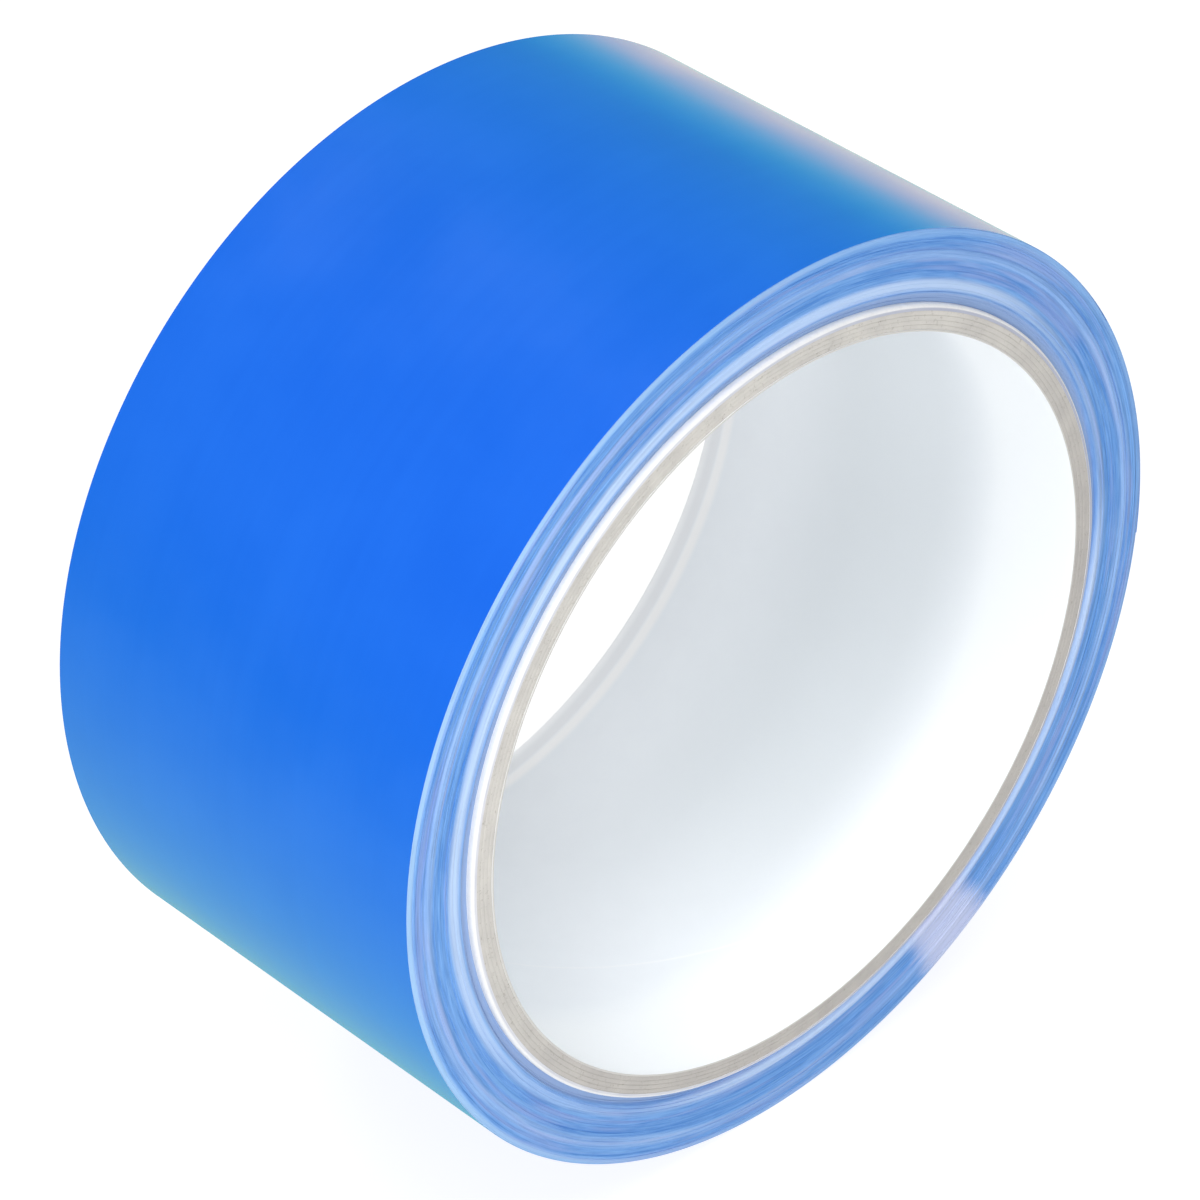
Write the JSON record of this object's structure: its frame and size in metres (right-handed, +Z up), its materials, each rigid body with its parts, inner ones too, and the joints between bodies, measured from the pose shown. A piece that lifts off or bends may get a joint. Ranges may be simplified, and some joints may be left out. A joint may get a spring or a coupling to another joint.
{
  "type": "tape roll",
  "caption": "Roll of glossy blue film tape wound on a white-lined paperboard core, its free end peeling up from the roll.",
  "frame": {"origin": "middle of the core's bore, halfway between its two ends", "axes": "+Y along the bore from the front face to the back face, +Z up with the roll standing on its rim; the free end of the tape is on the +X side"},
  "size_m": [0.0962, 0.0492, 0.096],
  "materials": {
    "liner_paper": "smooth white paper",
    "greyboard": "cut greyboard edge",
    "wrap_paper": "white paper",
    "blue_film": "smooth glossy film"
  },
  "bodies": {
    "roll": {"core_liner": "liner_paper", "core_board_ply_1": "greyboard", "core_board_ply_2": "greyboard", "core_board_ply_3": "greyboard", "core_board_ply_4": "greyboard", "core_wrap": "wrap_paper", "wound_tape": "blue_film", "outer_turn": "blue_film"},
    "strip_1": {"free_end_strip_1": "blue_film"},
    "strip_2": {"free_end_strip_2": "blue_film"},
    "strip_3": {"free_end_strip_3": "blue_film"},
    "strip_4": {"free_end_strip_4": "blue_film"}
  },
  "joints": [
    {"name": "peel_1", "type": "hinge", "parent": "roll", "child": "strip_1", "pos_m": [0.04236, 0, 0.02252], "axis": [0, -1, 0], "range_deg": [0, 35]},
    {"name": "peel_2", "type": "hinge", "parent": "strip_1", "child": "strip_2", "pos_m": [0.04509, 0, 0.01641], "axis": [0, -1, 0], "range_deg": [0, 35]},
    {"name": "peel_3", "type": "hinge", "parent": "strip_2", "child": "strip_3", "pos_m": [0.04697, 0, 0.00999], "axis": [0, -1, 0], "range_deg": [0, 35]},
    {"name": "peel_4", "type": "hinge", "parent": "strip_3", "child": "strip_4", "pos_m": [0.04797, 0, 0.00337], "axis": [0, -1, 0], "range_deg": [0, 35]}
  ],
  "couplings": [
    {"joint": "peel_2", "follows": "peel_1", "ratio": 1},
    {"joint": "peel_3", "follows": "peel_1", "ratio": 1},
    {"joint": "peel_4", "follows": "peel_1", "ratio": 1}
  ]
}
